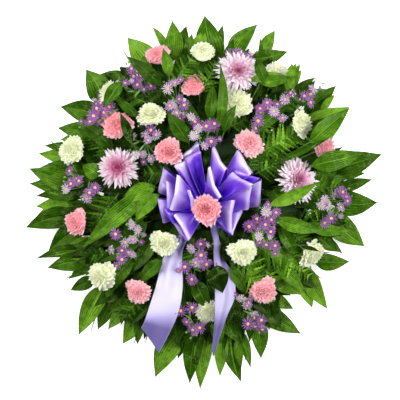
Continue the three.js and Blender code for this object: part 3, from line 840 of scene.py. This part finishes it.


# Leaves that lie over the pad and between the flowers: base, tip (x, y, z each), width and shade.
# The shade is partly each leaf's own tone and partly painted shade: the leaves at 0.1 to 0.15,
# mostly low, are dark sheets painted as the shade between the flowers, and the leaf at -0.9 over
# the right tail is painted as a leaf in shade.
INNER_LEAVES = (
    (-108, 28, 108, -251, -95, 102, 42, 0.62),
    (-98, 34, 112, -172, -2, 104, 36, 0.7),
    (-92, 18, 116, -140, -40, 112, 34, 0.75),
    (33, 152, 124, 37, 288, 130, 22, 0.5),
    (44, 146, 132, 70, 203, 150, 24, 0.4),
    (138, -6, 126, 241, 43, 146, 27, 0.8),
    (150, -34, 120, 254, -60, 112, 31, 0.6),
    (212, -44, 92, 320, -58, 72, 26, 0.7),
    (158, -46, 104, 202, -126, 96, 26, 0.45),
    (30, -130, 142, 42, -188, 140, 46, -0.9),
    (8, -136, 118, 56, -216, 112, 16, 0.6),
    (-16, -162, 112, 14, -224, 106, 36, 0.3),
    (-70, 262, 118, -82, 322, 122, 24, 0.6),
    (-84, 244, 110, -157, 306, 96, 30, 0.2),
    (-147, 122, 128, -171, 187, 142, 22, 0.1),
    (-130, 176, 100, -189, 228, 96, 20, 0.4),
    (-168, 252, 120, -208, 198, 120, 30, 0.5),
    (205, -92, 130, 244, -102, 138, 9, 0.1),
    (-28, 126, 118, -74, 190, 120, 34, 0.35),
    (-214, 56, 104, -252, 78, 92, 36, 0.5),
    (-116, -40, 104, -226, -128, 92, 40, 0.35),
    (-100, -60, 100, -150, -150, 96, 34, 0.25),
    (-84, -120, 98, -132, -168, 96, 30, 0.4),
    (140, 6, 96, 186, 34, 92, 30, 0.35),
    (110, 150, 110, 178, 200, 96, 26, 0.4),
    (96, 254, 112, 184, 262, 112, 20, 0.8),
    (112, 300, 112, 146, 236, 120, 24, 0.4),
    (176, 232, 112, 196, 292, 100, 22, 0.7),
    (150, 82, 122, 264, 134, 130, 15, 0.3),
    (226, 76, 128, 338, 104, 92, 42, 0.5),
    (222, 124, 126, 308, 197, 88, 40, 0.6),
    (196, 40, 92, 286, 60, 74, 26, 0.35),
    (206, -6, 90, 296, 14, 70, 30, 0.3),
    (-196, 60, 96, -290, 52, 76, 28, 0.3),
    (-186, 110, 92, -262, 168, 70, 32, 0.3),
    (-40, -150, 92, -30, -236, 84, 34, 0.3),
    (-140, -110, 92, -206, -206, 74, 34, 0.45),
    (180, 230, 100, 206, 292, 84, 22, 0.8),
    (-8, 150, 108, -34, 218, 100, 28, 0.3),
    (14, 172, 112, 22, 250, 106, 26, 0.4),
    (-150, -20, 96, -214, -44, 88, 30, 0.55),
    (150, -130, 96, 214, -190, 84, 30, 0.6),
    (60, -130, 98, 92, -196, 92, 26, 0.6),
    (-66, 256, 84, -106, 292, 72, 34, 0.1),
    (-160, 236, 80, -206, 272, 64, 34, 0.1),
    (-166, 206, 80, -214, 246, 66, 36, 0.1),
    (-90, 196, 88, -124, 230, 80, 36, 0.1),
    (196, 222, 80, 238, 256, 66, 24, 0.2),
    (-206, -12, 80, -256, 20, 66, 36, 0.1),
    (-18, 258, 84, 6, 340, 68, 40, 0.15),
    (60, 220, 88, 84, 262, 80, 30, 0.1),
    (40, -92, 90, 66, -124, 86, 30, 0.1),
    (-52, -96, 88, -80, -128, 84, 30, 0.1),
    (-210, -106, 74, -248, -138, 60, 30, 0.1),
    (-140, 252, 74, -174, 286, 62, 30, 0.1),
    (-124, -126, 84, -170, -166, 70, 32, 0.1),
    (44, 262, 84, 66, 328, 70, 36, 0.1),
    (-40, 262, 84, -34, 328, 70, 32, 0.1),
    (16, 256, 84, 34, 316, 74, 30, 0.1),
    (68, 226, 84, 110, 260, 76, 32, 0.1),
    (116, 262, 80, 146, 306, 66, 30, 0.15),
    (-176, -70, 84, -224, -94, 70, 30, 0.1),
    (-116, -136, 84, -154, -182, 70, 32, 0.1),
    (118, 250, 118, 186, 262, 122, 24, 0.5),
    (70, 262, 84, 98, 324, 64, 36, 0.3),
    (52, 280, 78, 66, 346, 60, 22, 0.4),
    (-250, 16, 44, -352, 14, 34, 30, 0.2),
    (-236, 128, 60, -300, 133, 44, 30, 0.6),
    (190, 2, 50, 222, -42, 44, 32, 0.15),
    (188, -88, 50, 226, -114, 44, 30, 0.3),
    (184, -56, 48, 222, -92, 42, 36, 0.2),
    (148, -150, 70, 206, -194, 60, 42, 0.7),
    (124, -160, 56, 186, -196, 50, 34, 0.4),
    (38, 262, 70, 48, 320, 60, 28, 0.3),
    (-128, -230, 60, -138, -300, 44, 24, 0.5),
    (74, -284, 30, 82, -352, 24, 20, 0.7),
    (-26, 300, 60, -22, 356, 46, 24, 0.6),
    (-20, -250, 44, -52, -330, 34, 30, 0.4),
)


def inner_leaf(number, bx, by, bz, tx, ty, tz, width, shade):
    """One leaf on its own stalk out of the foam."""
    rng = random.Random(SEEDS["inner"] + number)
    base, tip = Vector((bx, by, bz)) * MM, Vector((tx, ty, tz)) * MM
    shape = Shape()
    blade(shape, base, tip, width, rng.uniform(6, 12), rng.uniform(0.15, 0.35), shade, rng,
          twist=rng.uniform(-0.2, 0.2))
    shape.thicken(LEAF_THICKNESS)
    foot = Vector((bx * 0.8, by * 0.8, STEM_FOOT)) * MM
    shape.rod(foot, base.lerp(tip, 0.04), 1.6, 1.0, 6, 1)
    return shape.piece(f"inner_leaf_{number:02d}", (PALM, STEM), None)


# Where the rim opens between the fronds and no low leaf may reach: x, y and radius, in mm.
OPENINGS = ((216, -236, 42), (262, -140, 36), (205, 262, 20), (300, -84, 16))
# Rings of low fronds: how many, how far out and how high each stands, half the angle of its fan,
# how many leaves it has, how long they are, and how light: the inner rings are painted nearly
# black as the shade in the gaps between the leaves.
FILLER_RINGS = (
    (6, 50, 74, 0.9, 5, 82, 0.05),
    (10, 120, 76, 0.8, 5, 92, 0.05),
    (14, 184, 72, 0.7, 5, 96, 0.08),
    (20, 210, 56, 0.55, 4, 84, 0.25),
    (18, 206, 34, 0.5, 4, 92, 0.3),
    (16, 236, 62, 0.6, 3, 60, 0.35),
)


def filler_frond(number, bearing, radius, height, spread, count, length, light):
    """A low frond between the flowers that hides the foam: leaves fanned round one bearing."""
    rng = random.Random(SEEDS["filler"] + number)
    shape = Shape()
    root = Vector((math.cos(bearing), math.sin(bearing), 0)) * radius * MM
    foot = root * 0.85 + UP * STEM_FOOT * MM
    root += UP * height * MM
    stalks = []
    for i in range(count):
        angle = bearing + spread * ((i + 0.5) / count - 0.5) * 2 + rng.uniform(-0.12, 0.12)
        reach = length * rng.uniform(0.8, 1.15)
        way = Vector((math.cos(angle), math.sin(angle), 0))
        base = root + (way * rng.uniform(4, 14) + UP * rng.uniform(-4, 5)) * MM
        tip = base + (way * reach + UP * rng.uniform(-14, 12)) * MM
        if any(math.hypot(tip.x / MM - x, tip.y / MM - y) < room for x, y, room in OPENINGS):
            continue
        # Painted shade: the leaves take their ring's low lightness, so they show as dark gaps.
        blade(shape, base, tip, rng.uniform(24, 36), rng.uniform(3, 10), rng.uniform(0.1, 0.4),
              light * rng.uniform(0.5, 1.5), rng, cells=(6, 12), twist=rng.uniform(-0.35, 0.35))
        stalks.append(base.lerp(tip, 0.04))
    shape.thicken(LEAF_THICKNESS)
    for end in stalks:
        shape.rod(root, end, 1.4, 0.9, 6, 1)
    shape.rod(foot, root, 2.0, 1.8, 8, 1)
    return shape.piece(f"filler_frond_{number:02d}", (PALM, STEM), None)


# ---------------------------------------------------------------- fern sprigs
FERN_ROWS = 9
LEAFLET_SPACING = 8.5
STALK_LENGTHS = 6


def fern_sprig(number, base, tip, rise, width, shade):
    """A leatherleaf fern sprig: lobed leaflets in pairs along one thin stalk."""
    rng = random.Random(SEEDS["fern"] + number)
    shape = Shape()
    along = tip - base
    flat = Vector((along.x, along.y, 0)).normalized()
    side = Vector((-flat.y, flat.x, 0))

    def on_stalk(t):
        return base + along * t + UP * (rise * MM * math.sin(math.pi * t))

    pairs = max(6, int(along.length / MM / LEAFLET_SPACING))
    for i in range(pairs):
        t = 0.1 + 0.86 * i / pairs
        reach = width / 2 * math.sin(math.pi * (0.3 + 0.68 * t)) * rng.uniform(0.85, 1.1)
        for hand in (-1, 1):
            start = on_stalk(t)
            way = side * hand + flat * rng.uniform(0.35, 0.75) + UP * rng.uniform(-0.3, 0.35)
            way.normalize()
            end = start + way * reach * MM
            breadth = 0.17 * reach + 3.0
            across_way = way.cross(UP).normalized()

            def point(a, s):
                lobe = 1 if round(s * FERN_ROWS + a) % 2 else 0.35
                half = breadth / 2 * (1 - s) ** 0.6 * (lobe if abs(a) > 0.6 else 1) + 0.3
                sag = -2.2 * s * s + 0.8 * abs(a)
                return start.lerp(end, s) + across_way * (half * a * MM) + UP * (sag * MM), 0.5

            shape.grid(2, FERN_ROWS, point, 0, clamp(shade + rng.uniform(-0.35, 0.3)))
    shape.thicken(LEAF_THICKNESS)
    for i in range(STALK_LENGTHS):
        start, end = on_stalk(i / STALK_LENGTHS), on_stalk((i + 1) / STALK_LENGTHS)
        shape.rod(start, end, 1.1 - 0.14 * i, 1.0 - 0.14 * i, 5, 1)
    foot = Vector((base.x * 0.85, base.y * 0.85, STEM_FOOT * MM))
    if (foot - base).length > 5 * MM:
        shape.rod(foot, base, 1.3, 1.1, 6, 1)
    return shape.piece(f"fern_sprig_{number:02d}", (FERN, STEM), None)


# Fern sprigs: base and tip (x, y, z each), arch, width and shade.
FERNS = (
    (-60, 250, 96, -20, 306, 104, 8, 66, 0.4),
    (-6, 226, 92, 34, 300, 100, 8, 56, 0.4),
    (92, 92, 100, 192, 140, 100, 10, 80, 0.4),
    (110, 60, 96, 186, 96, 96, 8, 70, 0.45),
    (150, 190, 96, 214, 232, 92, 8, 70, 0.35),
    (92, 60, 104, 112, 108, 108, 8, 50, 0.5),
    (186, 10, 90, 268, 62, 84, 6, 66, 0.3),
    (-176, 18, 96, -244, -64, 84, 8, 76, 0.3),
    (-150, -6, 92, -200, -30, 90, 6, 60, 0.35),
    (60, -100, 104, 128, -158, 92, 8, 80, 0.55),
    (110, -92, 98, 196, -128, 86, 8, 84, 0.6),
    (120, -130, 92, 168, -176, 84, 8, 66, 0.5),
    (214, -10, 86, 242, -52, 84, 6, 54, 0.3),
    (184, -60, 88, 222, -96, 84, 6, 60, 0.35),
    (-130, -196, 84, -172, -252, 70, 6, 66, 0.3),
    (-60, 60, 100, -128, 62, 96, 8, 66, 0.3),
    (-60, -110, 90, -100, -150, 88, 6, 60, 0.25),
    (-190, 96, 92, -240, 140, 80, 6, 66, 0.25),
    (10, -170, 92, 40, -236, 84, 6, 60, 0.3),
    (60, 160, 98, 96, 176, 98, 6, 60, 0.3),
    (-120, 210, 92, -160, 226, 84, 6, 60, 0.25),
    (180, 120, 92, 236, 160, 84, 8, 70, 0.45),
    (200, 26, 96, 296, 34, 80, 8, 62, 0.45),
    (220, -4, 92, 306, -34, 76, 8, 60, 0.4),
    (130, 110, 104, 204, 152, 100, 8, 70, 0.7),
    (90, 130, 100, 150, 178, 98, 8, 64, 0.5),
    (150, -96, 100, 230, -160, 84, 8, 70, 0.75),
    (84, -140, 100, 150, -216, 86, 8, 66, 0.7),
    (-120, -30, 98, -180, -70, 90, 8, 60, 0.4),
    (-20, -90, 100, -30, -150, 96, 8, 50, 0.4),
    (100, -60, 100, 160, -90, 96, 8, 60, 0.6),
    (-30, 140, 100, -60, 220, 98, 8, 60, 0.35),
    (-200, -110, 84, -240, -110, 72, 6, 60, 0.25),
)

# Thin grass-like spikes that stand past the rim: base and tip (x, y each), in mm.
SPIKES = (
    (225, 235, 258, 240), (230, 240, 240, 266), (222, -110, 277, -106),
    (214, -130, 259, -166), (-104, -230, -123, -306), (-120, -230, -147, -309), (-170, -200, -200, -268),
    (-190, -190, -238, -283), (-240, -150, -297, -165), (-250, -96, -351, -119), (-262, 60, -339, 89),
    (-270, 110, -333, 139), (-210, 160, -269, 220), (-180, 190, -248, 248), (-160, 230, -204, 286),
    (-150, 240, -182, 291), (-146, 240, -174, 294), (-130, 260, -177, 339), (-30, 300, -43, 385),
    (-26, 300, -36, 379), (60, -260, 83, -389), (70, -250, 92, -345),
)
SPIKE_WIDTH = 3.4
SPIKE_FOOT, SPIKE_TIP = 58, 44


def grass_spikes():
    rng = random.Random(SEEDS["spikes"])
    shape = Shape()
    for bx, by, tx, ty in SPIKES:
        base, tip = Vector((bx, by, SPIKE_FOOT)) * MM, Vector((tx, ty, SPIKE_TIP)) * MM
        blade(shape, base, tip, SPIKE_WIDTH, 8, 0.3, rng.uniform(0.4, 0.9), rng, cells=(2, 12))
    shape.thicken(LEAF_THICKNESS)
    return shape.piece("grass_spikes", (PALM,), None)


# ---------------------------------------------------------------- the bow
# Each loop: the two ends of its fold (x, y each), the fold's height, how much higher its first end
# stands, how far its lower leg sags, how high a crease stands along it and where across it, the
# phase of its gathers and of its painted band, and how much lighter or darker its satin is painted,
# as painted light or shade. The loops at -0.5 and -0.6 are dark sheets painted as the shaded
# insides of the bow. Lowest layer first.
LOOPS = (
    (-42, 98, -12, 128, 112, 18, 12, 4, 0.0, 0.4, 0.05),
    (-82, 74, -93, 24, 114, 26, 11, 5, 0.1, 0.0, 0.05),
    (-95, 8, -84, -42, 112, 24, 11, 5, -0.2, 2.0, -0.05),
    (-64, -40, -36, -82, 110, 18, 11, 0, 0.0, 1.0, -0.3),
    (84, -18, 63, -68, 118, -22, 11, 4, 0.0, 0.5, 0.0),
    (123, 48, 121, -6, 116, 30, 12, 6, -0.1, 2.6, 0.1),
    (76, 110, 106, 62, 126, -22, 13, 6, 0.2, 0.2, -0.05),
    (72, 68, 119, 51, 132, -10, 11, 4, 0.0, 0.9, -0.5),
    (103, 38, 97, -12, 132, 30, 13, 5, 0.1, 1.4, 0.05),
    (-77, 46, -74, -15, 130, 14, 12, 5, 0.0, 0.8, 0.0),
    (-84, -14, -63, -45, 134, 10, 10, 0, 0.0, 2.2, -0.6),
    (24, 117, 53, 70, 138, -24, 14, 7, 0.25, 0.3, 0.05),
    (-37, 89, -7, 108, 138, 24, 13, -5, 0.2, 1.1, -0.25),
    (-60, 77, -31, 93, 143, 4, 14, 6, -0.3, 0.2, 0.1),
    (63, 63, 106, 37, 146, -22, 15, 8, 0.0, 2.4, 0.0),
    (-53, 58, -69, -14, 148, 12, 15, 8, 0.1, 0.6, 0.3),
    (-61, -28, -30, -79, 144, -16, 14, 6, -0.1, 1.7, 0.2),
    (68, 5, 61, -62, 150, 16, 15, 7, -0.15, 0.2, 0.25),
    (-31, 26, -20, -20, 158, 14, 10, 4, 0.0, 0.9, 0.3),
    (15, 74, 39, 12, 160, 10, 14, 7, 0.1, 1.2, 0.2),
)
KNOT = Vector((7, -12, 96))
# Loops whose folds stand above this height leave the knot higher, and the others lower.
MIDDLE_HEIGHT = 130
KNOT_GAP = 4
# Half the ribbon's width where it is pinched at the knot, and the radius of each loop's fold.
PINCHED = 5.5
FOLD_RADIUS = 4.5
# The share of a loop's length that each of its two legs takes.
LEG = 0.42


def bow_loop(shape, ax, ay, bx, by, height, tilt, bulge, crease, crease_at, phase, light):
    """One loop: out from the knot, over its fold and back, pleated where it is gathered."""
    first = Vector((ax, ay, height + tilt / 2))
    last = Vector((bx, by, height - tilt / 2))
    width = (last - first).normalized()
    fold = (first + last) / 2
    root = KNOT + UP * (height - MIDDLE_HEIGHT) * 0.2
    root += (fold - root).normalized() * KNOT_GAP
    reach = fold - root
    apart = width.cross(reach).normalized()
    if apart.z < 0:
        apart.negate()
    full = (last - first).length / 2
    straight = reach.length - FOLD_RADIUS

    def profile(t):
        """How far out and how far up the cloth is along the loop: a leg, a tight fold, a leg."""
        if t < LEG:
            s = t / LEG
            return straight * s, FOLD_RADIUS * s - 3 * math.sin(math.pi * s)
        if t < 1 - LEG:
            turn = math.pi * (t - LEG) / (1 - 2 * LEG)
            return straight + FOLD_RADIUS * math.sin(turn), FOLD_RADIUS * math.cos(turn)
        s = (1 - t) / LEG
        return straight * s, -FOLD_RADIUS * s - bulge * math.sin(math.pi * s)

    outwards = reach.normalized()

    def line(t):
        out, up = profile(clamp(t))
        return root + outwards * out + apart * up

    def point(a, t):
        ahead = line(t + 0.004) - line(t - 0.004)
        face = ahead.cross(width).normalized()
        out = clamp(profile(t)[0] / straight)
        half = lerp(PINCHED, full, out ** 0.9)
        spare = math.sqrt(max(0, (RIBBON_WIDTH / 2) ** 2 - half * half))
        gather = spare * 0.4 * (1 - 0.9 * out) * math.sin(a * math.pi + phase)
        ridge = crease * (1 - abs(a - crease_at) / (1 + abs(crease_at))) * out ** 0.7
        spot = line(t) + width * half * a + face * gather + apart * ridge
        # Painted light and shade in the tint: painted shade near the knot, a painted sheen growing out to
        # the fold, a painted band across the cloth, a painted highlight along the last tenth at the fold,
        # and each loop's own lightness.
        painted_band = 0.2 * math.cos(2.6 * a + phase) * out
        painted_sheen = (0.6 + light) * out ** 1.6 + painted_band + 0.35 * clamp((out - 0.9) / 0.1)
        return spot * MM, clamp(painted_sheen)

    made = shape.grid(18, 62, point)
    shape.bm.normal_update()
    if made[len(made) // 2].normal.dot(reach) < 0:
        bmesh.ops.reverse_faces(shape.bm, faces=list({f for v in made for f in v.link_faces}))
    return sum((line((i + 1) / 40) - line(i / 40)).length for i in range(40))


def bow():
    """The whole bow, and the length of ribbon in its loops."""
    shape = Shape()
    length = sum(bow_loop(shape, *loop) for loop in LOOPS)
    shape.thicken(RIBBON_THICKNESS, inside=1)
    return shape.piece("bow_ribbon", (SATIN, SATIN_SHADED_INSIDE), "bow_loops", 70), length


# The tails' left and right edges, as matching points down each, in mm.
TAILS = {
    "left": (
        ((-10, -20, 100), (-42, -56, 94), (-62, -86, 94), (-82, -115, 101), (-99, -180, 108),
         (-118, -240, 106), (-128, -262, 96)),
        ((2, -30, 100), (-24, -62, 94), (-36, -88, 96), (-42, -115, 108), (-41, -180, 124),
         (-54, -240, 120), (-91, -316, 84)),
    ),
    "right": (
        ((16, -26, 110), (20, -52, 114), (26, -84, 122), (26, -120, 134), (27, -155, 140),
         (26, -200, 142), (25, -245, 134), (20, -310, 102)),
        ((28, -26, 86), (31, -52, 80), (33, -84, 80), (43, -120, 86), (62, -152, 98),
         (66, -196, 112), (48, -242, 110), (23, -322, 90)),
    ),
}

# How light each tail is painted where it leaves the knot: painted shade under the bow.
SHADED_TOP = {"left": 0.25, "right": 0.0}


def ribbon_tail(hand):
    """A hanging length of ribbon, gathered at the knot and cut at a slant."""
    left, right = ([Vector(p) for p in edge] for edge in TAILS[hand])

    def point(a, t):
        one, other = through(left, t), through(right, t)
        width = other - one
        ahead = through(left, min(1, t + 0.01)) - through(left, max(0, t - 0.01))
        face = width.cross(ahead).normalized()
        if face.z < 0:
            face.negate()
        spare = math.sqrt(max(0, RIBBON_WIDTH ** 2 - width.length_squared)) / 2
        pleat = spare * 0.24 * math.cos(a * math.pi * 1.5 + 0.6) * clamp(1.5 - 1.3 * t, 0.15)
        cup = 0.8 * math.sin(t * 11 + a) + 0.8 * a * a
        spot = one.lerp(other, (a + 1) / 2) + face * (pleat + cup)
        # Painted light and shade along the tail: shade at the knot, a painted highlight growing down its
        # length, then painted shade over the last fifth to the cut end.
        light = SHADED_TOP[hand] + 1.1 * t
        return spot * MM, clamp(light if t < 0.8 else min(light, 0.9) - 9 * (t - 0.8))

    shape = Shape()
    shape.grid(14, 70, point)
    shape.thicken(RIBBON_THICKNESS)
    middle = [(a + b) / 2 for a, b in zip(left, right)]
    length = sum((through(middle, (i + 1) / 60) - through(middle, i / 60)).length for i in range(60))
    made = shape.piece(f"ribbon_tail_{hand}_satin", (TAIL_SATIN,), f"ribbon_tail_{hand}", 70)
    return made, length


# ---------------------------------------------------------------- assembly
for node, material in (("foam_pad", SHADED_FOAM), ("backing_tray", TRAY), ("bow_tie", WIRE)):
    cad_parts[node].data.materials.clear()
    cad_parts[node].data.materials.append(material)

# Each head: its size beside a common carnation, how much of its length it keeps along the
# wreath's height, and how much paler than the rest it is.
PINK_HEADS = (
    (0.8, 0.86, 0), (0.85, 1, 0), (1.04, 1, 0), (1.04, 0.9, 0), (1.04, 0.94, 0.22),
    (0.78, 1, 0.1), (0.9, 1, 0), (0.88, 0.95, 0.15), (1.02, 0.86, 0.15),
)
CREAM_HEADS = (
    (0.85, 0.86, 0), (0.84, 1, 0), (1.07, 0.74, 0), (1.08, 1, 0), (0.9, 1, 0.3), (0.9, 1, 0),
    (0.97, 1, 0), (0.94, 0.96, 0), (0.94, 0.96, 0), (0.96, 1.08, 0), (1, 1, 0), (0.86, 1, 0.1),
)
CENTRE_HEAD = (1.05, 1, 0)
# Each chrysanthemum: how deep its blush is, its size, and how much of its length it keeps.
MUM_HEADS = ((0.25, 1.2, 0.88), (1.0, 1.04, 1), (0.25, 1.14, 1))
# How many of each spray's daisies are pale rather than deep purple, as a share.
PALE_SHARE = (0.3, 0.4, 0.15, 0.3, 0.4, 0.75, 0.5, 0.4, 0.45, 0.2, 0.6, 0.3, 0.35, 0.15)

carnation("centre_carnation", PINK, "pink_petal", SEEDS["pink"], *CENTRE_HEAD)
for i, head in enumerate(PINK_HEADS, 1):
    carnation(f"pink_carnation_{i:02d}", PINK, "pink_petal", SEEDS["pink"] + i, *head)
for i, head in enumerate(CREAM_HEADS, 1):
    carnation(f"cream_carnation_{i:02d}", CREAM, "cream_petal", SEEDS["cream"] + i, *head)
for i, head in enumerate(MUM_HEADS, 1):
    chrysanthemum(f"chrysanthemum_{i:02d}", SEEDS["mum"] + i, *head)
for i, pale in enumerate(PALE_SHARE, 1):
    aster_spray(f"aster_spray_{i:02d}", SEEDS["aster"] + i, pale)
for number, (foot, spots) in enumerate(LOOSE_SPRIGS, 1):
    loose_sprig(number, foot, spots)
for number, (level, *leaves) in enumerate(FRONDS, 1):
    palm_frond(number, level, leaves)
for number, values in enumerate(INNER_LEAVES, 1):
    inner_leaf(number, *values)
for number, (bx, by, bz, tx, ty, tz, rise, width, shade) in enumerate(FERNS, 1):
    fern_sprig(number, Vector((bx, by, bz)) * MM, Vector((tx, ty, tz)) * MM, rise, width, shade)

number = 0
for count, *ring in FILLER_RINGS:
    for i in range(count):
        number += 1
        filler_frond(number, math.tau * (i + 0.37) / count, *ring)
grass_spikes()

bow_piece, bow_length = bow()
for hand in ("left", "right"):
    tail, tail_length = ribbon_tail(hand)

# ---------------------------------------------------------------- stage, lights and camera
scene = bpy.context.scene
bm = bmesh.new()
bmesh.ops.create_grid(bm, x_segments=1, y_segments=1, size=30)
floor_mesh = bpy.data.meshes.new("floor")
bm.to_mesh(floor_mesh)
bm.free()
floor = bpy.data.objects.new("floor", floor_mesh)
scene.collection.objects.link(floor)
floor_material, floor_shader = finish("pale_floor", 0.9, 0.1)
floor_shader.inputs["Base Color"].default_value = (0.9, 0.9, 0.9, 1)
floor_shader.inputs["Emission Color"].default_value = (1, 1, 1, 1)
floor_shader.inputs["Emission Strength"].default_value = 0.8
floor_mesh.materials.append(floor_material)
floor.visible_diffuse = False
floor.visible_glossy = False

world = bpy.data.worlds.new("studio")
scene.world = world
world.use_nodes = True
world.node_tree.nodes["Background"].inputs[0].default_value = (1, 1, 1, 1)
world.node_tree.nodes["Background"].inputs[1].default_value = 0.03
LIGHTS_AIM = Vector((0, 0, 0.1))


def softbox(name, place, size, power):
    data = bpy.data.lights.new(name, "AREA")
    data.shape = "RECTANGLE"
    data.size, data.size_y = size
    data.energy = power
    light = bpy.data.objects.new(name, data)
    light.location = place
    light.rotation_euler = (LIGHTS_AIM - Vector(place)).to_track_quat("-Z", "Y").to_euler()
    scene.collection.objects.link(light)


softbox("left_light", (-1.75, 0.3, 1.5), (0.5, 2.4), 50)
softbox("right_light", (1.75, 0.2, 1.4), (0.5, 2.2), 58)
softbox("back_light", (-0.1, 1.9, 1.5), (2.0, 0.5), 32)
softbox("front_light", (0.3, -1.9, 1.6), (1.6, 0.5), 16)
softbox("high_light", (-0.9, 0.9, 2.3), (0.6, 0.6), 14)

# The camera looks straight down: its height, and how wide a view it has at the plane of the rim.
CAMERA_HEIGHT = 6.0
VIEW_WIDTH = 0.84
VIEW_PLANE = 0.08
VIEW_CENTRE = (-0.00525, 0.00525)
SENSOR_WIDTH = 36
camera_data = bpy.data.cameras.new("camera")
camera_data.sensor_width = SENSOR_WIDTH
camera_data.lens = SENSOR_WIDTH * (CAMERA_HEIGHT - VIEW_PLANE) / VIEW_WIDTH
camera_data.clip_end = 60
camera = bpy.data.objects.new("camera", camera_data)
camera.location = (*VIEW_CENTRE, CAMERA_HEIGHT)
scene.collection.objects.link(camera)
scene.camera = camera
scene.view_settings.view_transform = "Standard"
